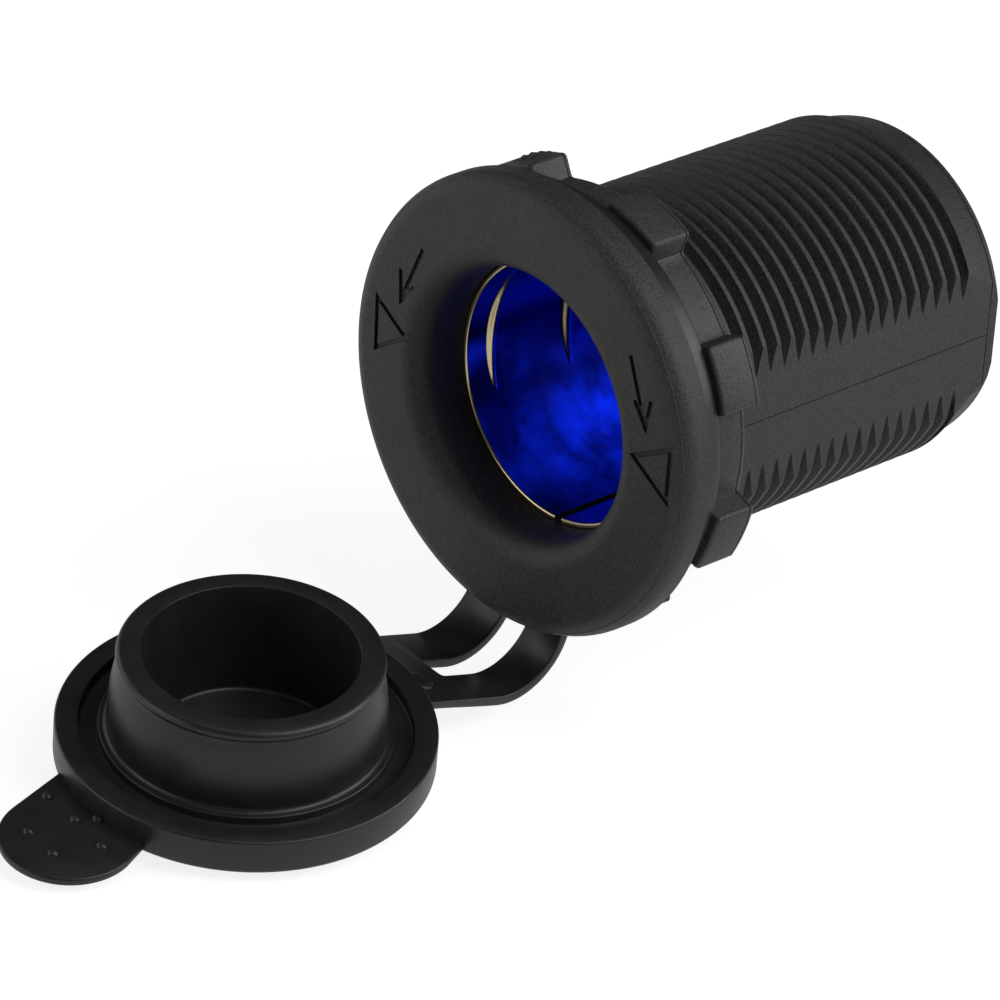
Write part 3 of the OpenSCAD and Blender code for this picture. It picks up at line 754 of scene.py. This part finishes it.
def paint_light_in_bore(obj):
    """Gives the plain wall of the bore the plate with painted blue light and glow, and all the rest the
    bright one.
    """
    obj.data.materials.append(nickel_painted_warm_tint)
    obj.data.materials.append(nickel_painted_light)
    for face in obj.data.polygons:
        out = Vector((face.center.x, 0, face.center.z))
        radius = out.length / MM
        inward = -face.normal.dot(out.normalized())
        in_bore = radius < SHELL_R + 0.02 and RIM_Y + LEAD_IN - 0.05 < face.center.y / MM < SHELL_END_Y
        face.material_index = 1 if in_bore and inward > WALL_INWARD else 0


shell = make_shell()
cut(shell, make_shell_lug(), "UNION", sharp_deg=40)
paint_light_in_bore(shell)
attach(shell, "socket")
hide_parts("contact_shell")
print("shell:", len(shell.data.polygons), "faces")

# %% [markdown]
# ## The lock nut
# The nut is a ring with eight lugs for a spanner or fingers. It is a stack of outlines, drawn in a little
# at the rounded edges and at a fine step line. Its bore is plain and clears the thread's crests.

# %% Lock nut mesh
NUT_R = 16.25
LUG_R = 18.15
LUG_COUNT = 8
LUG_FOOT_DEG = 19.4
LUG_TOP_DEG = 17.4
LUG_PHASE_DEG = 24.8
LUG_ROUND = 0.3
NUT_ROUND = 0.3
STEP_LINE = 0.45
NUT_BORE_R = THREAD_R + 0.1


def nut_side(inset):
    """Half of one lug and of the gap after it, as (radius, angle from the lug's middle)."""
    edge = math.degrees(LUG_ROUND / LUG_R)
    draw_in = math.degrees(inset / LUG_R)
    top, foot = LUG_TOP_DEG / 2 - draw_in, LUG_FOOT_DEG / 2 - draw_in
    reach = 180 / LUG_COUNT
    points = [(LUG_R, (top - edge) * i / 4) for i in range(5)]
    for down, back in ((0.08, 0.6), (0.3, 0.28), (0.62, 0.04), (1.0, -0.1)):
        points.append((LUG_R - LUG_ROUND * down, top - edge * back))
    points += [(NUT_R + 0.25, foot - 0.1), (NUT_R + 0.08, foot + 0.15), (NUT_R, foot + 0.8)]
    points += [(NUT_R, foot + 0.8 + (reach - foot - 0.8) * i / 5) for i in range(1, 6)]
    return [(radius - inset, angle) for radius, angle in points]


def nut_outline(inset):
    """Outline of the nut as (radius, angle), drawn in by an inset."""
    half = nut_side(inset)
    lug = [(radius, -angle) for radius, angle in reversed(half[1:])] + half[:-1]
    step = 360 / LUG_COUNT
    return [(radius, LUG_PHASE_DEG + i * step + angle) for i in range(LUG_COUNT) for radius, angle in lug]


def make_nut():
    edge = [(0.0, NUT_ROUND), (0.05, 0.17), (0.14, 0.07), (NUT_ROUND, 0.0)]
    line = [(STEP_LINE + along, deep) for along, deep in ((0, 0.0), (0.04, 0.06), (0.1, 0.06), (0.14, 0.0))]
    levels = [(NUT_Y0 + up, inset) for up, inset in edge]
    levels += [(NUT_Y1 - up, inset) for up, inset in reversed(edge + line)]
    outlines = [(y, nut_outline(inset)) for y, inset in levels]
    columns = []
    for i in range(len(outlines[0][1])):
        angle = math.radians(outlines[0][1][i][1])
        column = [on_barrel(NUT_BORE_R, NUT_Y0, angle)]
        column += [on_barrel(outline[i][0], y, math.radians(outline[i][1])) for y, outline in outlines]
        column.append(on_barrel(NUT_BORE_R, NUT_Y1, angle))
        columns.append(column)
    points, faces = skin(columns)
    return piece("nut_ring", points, faces, sharp_deg=28)


STUB_SPAN_DEG = 7.5
STUB_ASIDE_DEG = 1.5
STUB_Y = 3.1
STUB_L = 2.6
STUB_H = 0.42
STUB_ROOT = 0.4


def stub_swell(share):
    """How far the stub stands up at a share of its width or length."""
    return math.sin(math.pi * (0.06 + 0.88 * share))


def make_gate_stub(columns=12, rows=8):
    """Rough stub that is left on one lug where the moulded nut was broken from its runner."""
    middle = LUG_PHASE_DEG + 2 * 360 / LUG_COUNT - STUB_ASIDE_DEG
    sheet = []
    for i in range(columns + 1):
        angle = math.radians(middle + STUB_SPAN_DEG * (i / columns - 0.5))
        column = [on_barrel(LUG_R - STUB_ROOT, STUB_Y, angle)]
        for j in range(rows + 1):
            fade = stub_swell(i / columns) * stub_swell(j / rows)
            rough = 0.62 + 0.38 * math.sin(2.7 * i + 1.9 * j) * math.cos(1.3 * i - 2.3 * j)
            radius = LUG_R - 0.05 + STUB_H * fade ** 0.5 * rough
            column.append(on_barrel(radius, STUB_Y + STUB_L * j / rows, angle))
        sheet.append(column + [on_barrel(LUG_R - STUB_ROOT, STUB_Y + STUB_L, angle)])
    points, faces = skin(sheet, close_columns=False)
    length = len(sheet[0])
    faces.append(tuple(range(length)))
    faces.append(tuple(range(len(points) - length, len(points))))
    return piece("gate_stub", points, faces)


nut_mesh = make_nut()
cut(nut_mesh, make_gate_stub(), "UNION", sharp_deg=28)
nut = put(nut_mesh, nut_nylon, "nut")
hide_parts("lock_nut")
print("nut:", len(nut.data.polygons), "faces")

# %% [markdown]
# ## The rubber cap
# The lid hangs on two straps from a ring behind the flange. All three are turned by a few degrees about the
# barrel, as in the photograph. The lid is turned: a hollow plug with a bead and a crease, a wall that ends
# in a small step, a groove, and a raised rim that seals on the flange. The bead is a little smaller than
# the bore, because a rigid one would cut into the shell.

# %% Places of the cap
CAP_TURN = Matrix.Rotation(math.radians(6.2), 4, "Y")
STRAP_T = 0.85
STRAP_FAR_X, STRAP_NEAR_X = -5.15, 5.2
SLOT_FAR_X, SLOT_NEAR_X = -0.95, 1.45
STRAP_WEB = 4.35
STRAP_THIN = 0.2
BEND_R = 5.0
STRAP_SLOPE_DEG = 16.0
STRAP_FREE_L = 4.51
STRAP_ROOT_L = 3.13
STRAP_Y = COLLAR_T - STRAP_T / 2 - 0.02
COLLAR_R = 17.55
ROOT_Z = -COLLAR_R - 0.65
BEND_Z = ROOT_Z - 0.45
LID_R = 14.67
LID_H = 9.55
LID_TILT_DEG = 4.85
STRAP_SEAT = 0.79
SLICE_L = 0.35


def strap_point(s):
    """Middle of the strap's thickness and the direction of its inner face, s mm along it from the root."""
    straight = ROOT_Z - BEND_Z
    bend_l = math.radians(90 + STRAP_SLOPE_DEG) * BEND_R
    if s <= straight:
        return Vector((STRAP_Y, ROOT_Z - s)), Vector((-1, 0))
    a = min((s - straight) / BEND_R, bend_l / BEND_R)
    centre = Vector((STRAP_Y - BEND_R, BEND_Z))
    out = Vector((math.cos(a), -math.sin(a)))
    rest = max(s - straight - bend_l, 0.0)
    along = Vector((-math.sin(a), -math.cos(a)))
    return centre + out * BEND_R + along * rest, -out


STRAP_END_S = ROOT_Z - BEND_Z + math.radians(90 + STRAP_SLOPE_DEG) * BEND_R + STRAP_FREE_L
LID_EDGE_S = STRAP_END_S + STRAP_ROOT_L
THIN_FROM_S = STRAP_END_S - STRAP_FREE_L
lid_edge = strap_point(LID_EDGE_S)[0]
tilt = math.radians(LID_TILT_DEG)
lid_y = lid_edge.x - LID_R * math.cos(tilt) - (LID_H - STRAP_SEAT) * math.sin(tilt)
lid_z = lid_edge.y - LID_R * math.sin(tilt) + (LID_H - STRAP_SEAT) * math.cos(tilt)
LID_PLACE = CAP_TURN @ Matrix.Translation((0, lid_y * MM, lid_z * MM)) @ Matrix.Rotation(tilt, 4, "X")
print(f"lid's mouth at y {lid_y:.2f}, z {lid_z:.2f} mm before the cap's turn")

# %% Plates with rounded edges
def plate(name, outline, thickness, edge, steps=3, square_at=()):
    """Plate over a closed outline of (a, b) points, with rounded edges but where a is named in square_at."""
    count = len(outline)
    points = [(a, b, h) for h in (0.0, thickness) for a, b in outline]
    faces = [tuple(range(count)), tuple(range(count, 2 * count))]
    faces += [(i, (i + 1) % count, count + (i + 1) % count, count + i) for i in range(count)]
    obj = piece(name, points, faces)
    bm = bmesh.new()
    bm.from_mesh(obj.data)
    level = [e for e in bm.edges if abs(e.verts[0].co.z - e.verts[1].co.z) < 1e-9]
    rims = []
    for edge_line in level:
        ends = [v.co.x / MM for v in edge_line.verts]
        if not any(all(abs(x - a) < 1e-4 for x in ends) for a in square_at):
            rims.append(edge_line)
    bmesh.ops.bevel(bm, geom=rims, offset=edge * MM, segments=steps, profile=0.5, affect="EDGES")
    bm.to_mesh(obj.data)
    bm.free()
    return obj


def slice_along(obj, stations):
    """Cuts a plate across at each station along its first axis, so that it can bend."""
    bm = bmesh.new()
    bm.from_mesh(obj.data)
    for s in stations:
        everything = bm.verts[:] + bm.edges[:] + bm.faces[:]
        place = (s * MM, 0, 0)
        bmesh.ops.bisect_plane(bm, geom=everything, plane_co=place, plane_no=(1, 0, 0), dist=1e-8)
    bm.to_mesh(obj.data)
    bm.free()


def bend_to_strap(obj):
    """Lays a plate of (s, x, height) along the strap's path. Towards the lid the strap grows thinner."""
    for vertex in obj.data.vertices:
        s, x, h = vertex.co / MM
        middle, inner = strap_point(s)
        share = min(max((s - THIN_FROM_S) / (LID_EDGE_S - THIN_FROM_S), 0.0), 1.0)
        h = STRAP_T - (STRAP_T - h) * (1 - STRAP_THIN * share * share * (3 - 2 * share))
        place = middle + inner * (h - STRAP_T / 2)
        vertex.co = CAP_TURN @ (Vector((x, place.x, place.y)) * MM)


# %% Straps
SLOT_END_S = LID_EDGE_S - STRAP_WEB / math.cos(math.radians(STRAP_SLOPE_DEG))
EDGE_ROUND = 0.15


def strap_outline(start, end):
    """Both straps with the slot between them, open at the start."""
    far, near = SLOT_FAR_X, SLOT_NEAR_X
    outline = [(start, STRAP_FAR_X), (end, STRAP_FAR_X), (end, STRAP_NEAR_X), (start, STRAP_NEAR_X)]
    outline += [(start, near), (SLOT_END_S - 0.3, near), (SLOT_END_S - 0.09, near - 0.08)]
    outline += [(SLOT_END_S, near - 0.3), (SLOT_END_S, far + 0.3), (SLOT_END_S - 0.09, far + 0.08)]
    outline += [(SLOT_END_S - 0.3, far), (start, far)]
    return outline


straps = plate("cap_strap_pair", strap_outline(0.0, STRAP_END_S), STRAP_T, EDGE_ROUND,
               square_at=(0.0, STRAP_END_S))
slice_along(straps, [SLICE_L * i for i in range(1, int(STRAP_END_S / SLICE_L) + 1)])
bend_to_strap(straps)
clean(straps)
straps.data.materials.append(cap_rubber)
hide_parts("cap_straps")

# %% Collar
def make_collar():
    """Ring behind the flange, joined with the root of the straps."""
    r0, r1, c = THREAD_R + 0.2, COLLAR_R, 0.15
    profile = [(r0, 0.0), (r1 - c, 0.0)] + arc((r1 - c, c), c, -90, 0, 3)
    profile += arc((r1 - c, COLLAR_T - c), c, 0, 90, 3) + [(r0, COLLAR_T)]
    columns = [[on_barrel(r, y, 2 * math.pi * i / 192) for r, y in profile] for i in range(192)]
    ring = piece("cap_ring", *skin(columns))
    outline = [(-1.2, STRAP_FAR_X), (0.0, STRAP_FAR_X), (0.0, SLOT_FAR_X), (-0.45, SLOT_FAR_X)]
    outline += [(-0.45, SLOT_NEAR_X), (0.0, SLOT_NEAR_X), (0.0, STRAP_NEAR_X), (-1.2, STRAP_NEAR_X)]
    root = plate("root", outline, STRAP_T, EDGE_ROUND, square_at=(0.0, -1.2))
    for vertex in root.data.vertices:
        s, x, h = vertex.co / MM
        vertex.co = CAP_TURN @ (Vector((x, STRAP_Y + STRAP_T / 2 - h, ROOT_Z - s)) * MM)
    cut(ring, root, "UNION")
    return ring


collar = put(make_collar(), cap_rubber, "socket")
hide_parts("cap_collar")
print("straps:", len(straps.data.polygons), "faces; collar:", len(collar.data.polygons), "faces")

# %% Lid
PLUG_H = 6.8
PLUG_R = 10.28
BEAD = 0.5
CREASE_R = 9.97
WALL_R = 10.7
WALL_STEPS = 14
FOOT_R = 11.35
DISC_EXTRA = 0.24
MOUTH_R = 8.35
FLOOR_R = 7.55
WEB = 0.35
RIM_W = 1.85
GROOVE_DEPTH = 0.9
TAB_L = 8.4
TAB_END_R = 5.3
TAB_HALF_W = 5.1
TAB_ROOT_X = -1.1
TAB_LEAN = 0.4
TAB_T = 0.65
TAB_ROUND = 0.18
BUMP_STEPS = 20
MARK_STEPS = 40


def lid_profile():
    """Half section of the lid as (radius, height), with the plug's mouth at height 0."""
    seat, bottom = -PLUG_H, -LID_H - DISC_EXTRA
    rim_in = LID_R - RIM_W
    floor_h = -LID_H + WEB
    points = [(0.0, bottom), (LID_R - 0.5, bottom)]
    points += arc((LID_R - 0.45, bottom + 0.45), 0.45, -90, 0, 4)
    points += arc((LID_R - 0.2, seat - 0.2), 0.2, 0, 90, 3)
    points += arc((rim_in + 0.12, seat - 0.12), 0.12, 90, 180, 2)
    points += arc((rim_in - 0.2, seat - GROOVE_DEPTH + 0.2), -0.2, 180, 90, 3)
    points += arc((FOOT_R + 0.15, seat - GROOVE_DEPTH + 0.15), -0.15, 90, 0, 2)
    points += arc((FOOT_R - 0.12, seat - 0.32), 0.12, 0, 90, 3)
    points += arc((WALL_R + 0.4, seat + 0.2), 0.4, 268, 180, 6)
    crease_h = -2 * BEAD
    for i in range(WALL_STEPS - 1, 0, -1):
        fade = 1 - i / WALL_STEPS
        height = crease_h + (seat + 0.2 + 2 * BEAD) * i / WALL_STEPS
        points.append((WALL_R - (WALL_R - CREASE_R) * fade ** 3, height))
    points += arc((CREASE_R + 0.15, crease_h), -0.15, 0, -60, 3)
    points += arc((PLUG_R - BEAD, -BEAD), BEAD, -45, 80, 10)
    points += arc((MOUTH_R + 0.07, -0.07), 0.07, 90, 180, 3)
    points += arc((FLOOR_R - 0.35, floor_h + 0.35), 0.35, 0, -90, 4) + [(0.0, floor_h)]
    return points


def turned_lid(segments=216):
    """The lid without its tab, bumps and neck."""
    profile = lid_profile()
    columns = []
    for i in range(segments):
        a = 2 * math.pi * i / segments
        columns.append([(r * math.cos(a), r * math.sin(a), h) for r, h in profile])
    return piece("cap_lid_disc", *skin(columns, close_rows=False), sharp_deg=40)


def tab_outline():
    """Grip tab: it leans a little to one side and ends in a round."""
    root_y = 2.3 - LID_R
    left, right = TAB_ROOT_X - TAB_HALF_W, TAB_ROOT_X + TAB_HALF_W
    end_at = (TAB_LEAN, -LID_R - TAB_L + TAB_END_R)
    return [(right, root_y), (left, root_y)] + arc(end_at, TAB_END_R, 192, 377, 32)


def make_bump(x, y):
    """Small round grip bump that stands on the tab."""
    section = [(0.0, 0.35), (0.16, 0.34), (0.3, 0.28), (0.4, 0.16), (0.46, 0.0), (0.46, -0.3), (0.0, -0.3)]
    columns = []
    for i in range(BUMP_STEPS):
        a = 2 * math.pi * i / BUMP_STEPS
        columns.append([(x + r * math.cos(a), y + r * math.sin(a), TAB_T - LID_H + h) for r, h in section])
    return piece("bump", *skin(columns, close_rows=False))


def make_mark(s, x):
    """Low round boss with a dished top, which the mould's ejector pin leaves on the lid's root."""
    section = [(0.0, 0.1), (0.62, 0.12), (0.76, 0.26), (0.92, 0.36), (1.08, 0.34), (1.2, 0.2)]
    section += [(1.26, -0.25), (0.0, -0.25)]
    columns = []
    for i in range(MARK_STEPS):
        a = 2 * math.pi * i / MARK_STEPS
        columns.append([(s + r * math.cos(a), x + r * math.sin(a), STRAP_T + h) for r, h in section])
    mark = piece("mark", *skin(columns, close_rows=False))
    bend_to_strap(mark)
    return mark


lid = turned_lid()
tab = plate("tab", tab_outline(), TAB_T, TAB_ROUND)
tab.data.transform(Matrix.Translation((0, 0, -LID_H * MM)))
cut(lid, tab, "UNION", sharp_deg=40)
BUMPS = [(-4.1, -16.1), (-0.65, -16.2), (3.0, -16.65), (-1.65, -19.9), (1.45, -20.1), (0.3, -14.8)]
for x, y in BUMPS:
    cut(lid, make_bump(x, y), "UNION", sharp_deg=40)
lid.data.transform(LID_PLACE)

# %% Neck and ejector mark
NECK_IN = 2.2
NECK_SLICES = 15
MARK_FROM_EDGE = 0.95
MARK_X = 2.15
neck_end_s = LID_EDGE_S + NECK_IN
neck_outline = [(STRAP_END_S, STRAP_FAR_X), (neck_end_s, STRAP_FAR_X)]
neck_outline += [(neck_end_s, STRAP_NEAR_X), (STRAP_END_S, STRAP_NEAR_X)]
neck = plate("neck", neck_outline, STRAP_T, EDGE_ROUND, square_at=(STRAP_END_S,))
slice_along(neck, [STRAP_END_S + SLICE_L * i for i in range(1, NECK_SLICES + 1)])
bend_to_strap(neck)
cut(lid, neck, "UNION", sharp_deg=40)
cut(lid, make_mark(LID_EDGE_S - MARK_FROM_EDGE, MARK_X), "UNION", sharp_deg=40)
put(lid, cap_rubber, "cap")
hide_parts("cap_lid")
print("lid:", len(lid.data.polygons), "faces")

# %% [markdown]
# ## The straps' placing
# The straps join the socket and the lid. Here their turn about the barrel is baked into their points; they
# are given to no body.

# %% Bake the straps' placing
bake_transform(straps)

# %% [markdown]
# ## Floor, light and camera
# The object is shown on a plain pale floor. To the camera, and to mirrors, the floor adds some light of its
# own, so that it reads as white while the object's shadow stays. It lies a little under the part, because
# the straps hang lower when the cap is closed. Of the large soft lamps the strongest are at the right and
# behind, so that the thread and the lugs catch a band of light. One in front at the left lights the
# flange's face, and weak ones stand at the left and above.

# %% Floor and surroundings
def white_floor():
    """Pale matt floor that reads as white and keeps its shadows."""
    material, tree, _ = new_material("white_floor")
    path = add(tree, "ShaderNodeLightPath")
    mirrored = add(tree, "ShaderNodeMath", {"operation": "MULTIPLY", 1: 0.64},
                   {0: path.outputs["Is Glossy Ray"]})
    seen = add(tree, "ShaderNodeMath", {"operation": "MAXIMUM"},
               {0: path.outputs["Is Camera Ray"], 1: mirrored.outputs[0]})
    seen = add(tree, "ShaderNodeMath", {"operation": "MAXIMUM"},
               {0: seen.outputs[0], 1: path.outputs["Is Transmission Ray"]})
    level = add(tree, "ShaderNodeMapRange", {"To Min": 0.0, "To Max": 0.84}, {"Value": seen.outputs[0]})
    glow = add(tree, "ShaderNodeEmission", {"Color": (1, 1, 1, 1)},
               {"Strength": level.outputs["Result"]})
    matt = add(tree, "ShaderNodeBsdfDiffuse", {"Color": srgb("#a8a8a8")})
    both = add(tree, "ShaderNodeAddShader", links={0: glow.outputs[0], 1: matt.outputs[0]})
    finish_material(tree, both)
    return material


STRAP_ROOM = 0.8
FLOOR_HALF_M = 3.0
low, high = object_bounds()
corners = [(x * FLOOR_HALF_M, y * FLOOR_HALF_M, 0) for x, y in ((-1, -1), (1, -1), (1, 1), (-1, 1))]
floor_mesh = bpy.data.meshes.new("floor")
floor_mesh.from_pydata(corners, [], [(0, 1, 2, 3)])
floor = bpy.data.objects.new("floor", floor_mesh)
floor.location.z = low.z - STRAP_ROOM * MM
floor_mesh.materials.append(white_floor())
bpy.context.collection.objects.link(floor)
floor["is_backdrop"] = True

world = bpy.data.worlds.new("studio")
bpy.context.scene.world = world
world.use_nodes = True
sky = world.node_tree
sky.nodes.clear()
sky_path = add(sky, "ShaderNodeLightPath")
seen = add(sky, "ShaderNodeMath", {"operation": "MAXIMUM"},
           {0: sky_path.outputs["Is Camera Ray"], 1: sky_path.outputs["Is Transmission Ray"]})
strength = add(sky, "ShaderNodeMapRange", {"To Min": 0.04, "To Max": 1.0}, {"Value": seen.outputs[0]})
backdrop = add(sky, "ShaderNodeBackground", {"Color": (1, 1, 1, 1)},
               {"Strength": strength.outputs["Result"]})
add(sky, "ShaderNodeOutputWorld", links={"Surface": backdrop.outputs[0]})
print(f"floor at z {floor.location.z / MM:.2f} mm")

# %% Lamps
def soft_lamp(name, place, target, width, power):
    data = bpy.data.lights.new(name, "AREA")
    data.shape = "SQUARE"
    data.size = width
    data.energy = power
    obj = bpy.data.objects.new(name, data)
    obj.location = place
    obj.rotation_euler = (Vector(target) - Vector(place)).to_track_quat("-Z", "Y").to_euler()
    bpy.context.collection.objects.link(obj)
    return obj


LAMP_DISTANCE_M = 0.8
LAMP_WIDTH_M = 0.5
LAMPS = {
    "left_softbox": ((-1.0, -0.2, 0.35), 0.8),
    "front_left_softbox": ((-0.5, -1.0, 0.4), 1.25),
    "right_back_softbox": ((0.75, 0.75, 0.45), 2.6),
    "right_top_softbox": ((0.8, 0.1, 0.9), 2.2),
    "top_softbox": ((0.0, 0.1, 1.0), 0.6),
}
for lamp_name, (direction, power) in LAMPS.items():
    place = Vector(direction).normalized() * LAMP_DISTANCE_M
    soft_lamp(lamp_name, place, (0, 0, 0), LAMP_WIDTH_M, power)
print("lamps:", ", ".join(LAMPS))

# %% Camera
FOCAL_PX = 6584.4
FRAME_PX = 1000
VIEW_AZIMUTH_DEG = 44.964
VIEW_ELEVATION_DEG = 27.502
VIEW_DISTANCE = 507.093 * MM
VIEW_ROLL_DEG = 4.072
VIEW_TARGET = Vector((0.699, -4.528, -7.103)) * MM

camera_data = bpy.data.cameras.new("camera")
camera_data.sensor_width = 36.0
camera_data.lens = FOCAL_PX / FRAME_PX * camera_data.sensor_width
camera_data.clip_start = 0.02
camera_data.clip_end = 20.0
camera = bpy.data.objects.new("camera", camera_data)
azimuth, elevation = math.radians(VIEW_AZIMUTH_DEG), math.radians(VIEW_ELEVATION_DEG)
level_back = math.cos(elevation)
back = Vector((math.sin(azimuth) * level_back, -math.cos(azimuth) * level_back, math.sin(elevation)))
camera.location = VIEW_TARGET + back * VIEW_DISTANCE
camera.rotation_mode = "QUATERNION"
roll = Matrix.Rotation(math.radians(VIEW_ROLL_DEG), 3, "Z").to_quaternion()
camera.rotation_quaternion = (-back).to_track_quat("-Z", "Y") @ roll
bpy.context.collection.objects.link(camera)
bpy.context.scene.camera = camera
bpy.context.scene.view_settings.view_transform = "Standard"
print(f"camera {VIEW_DISTANCE / MM:.0f} mm away, lens {camera_data.lens:.1f} mm")

# %% Measure the boxes and finish
low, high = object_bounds()
print("visual size in mm:", [round(v / MM, 1) for v in high - low])
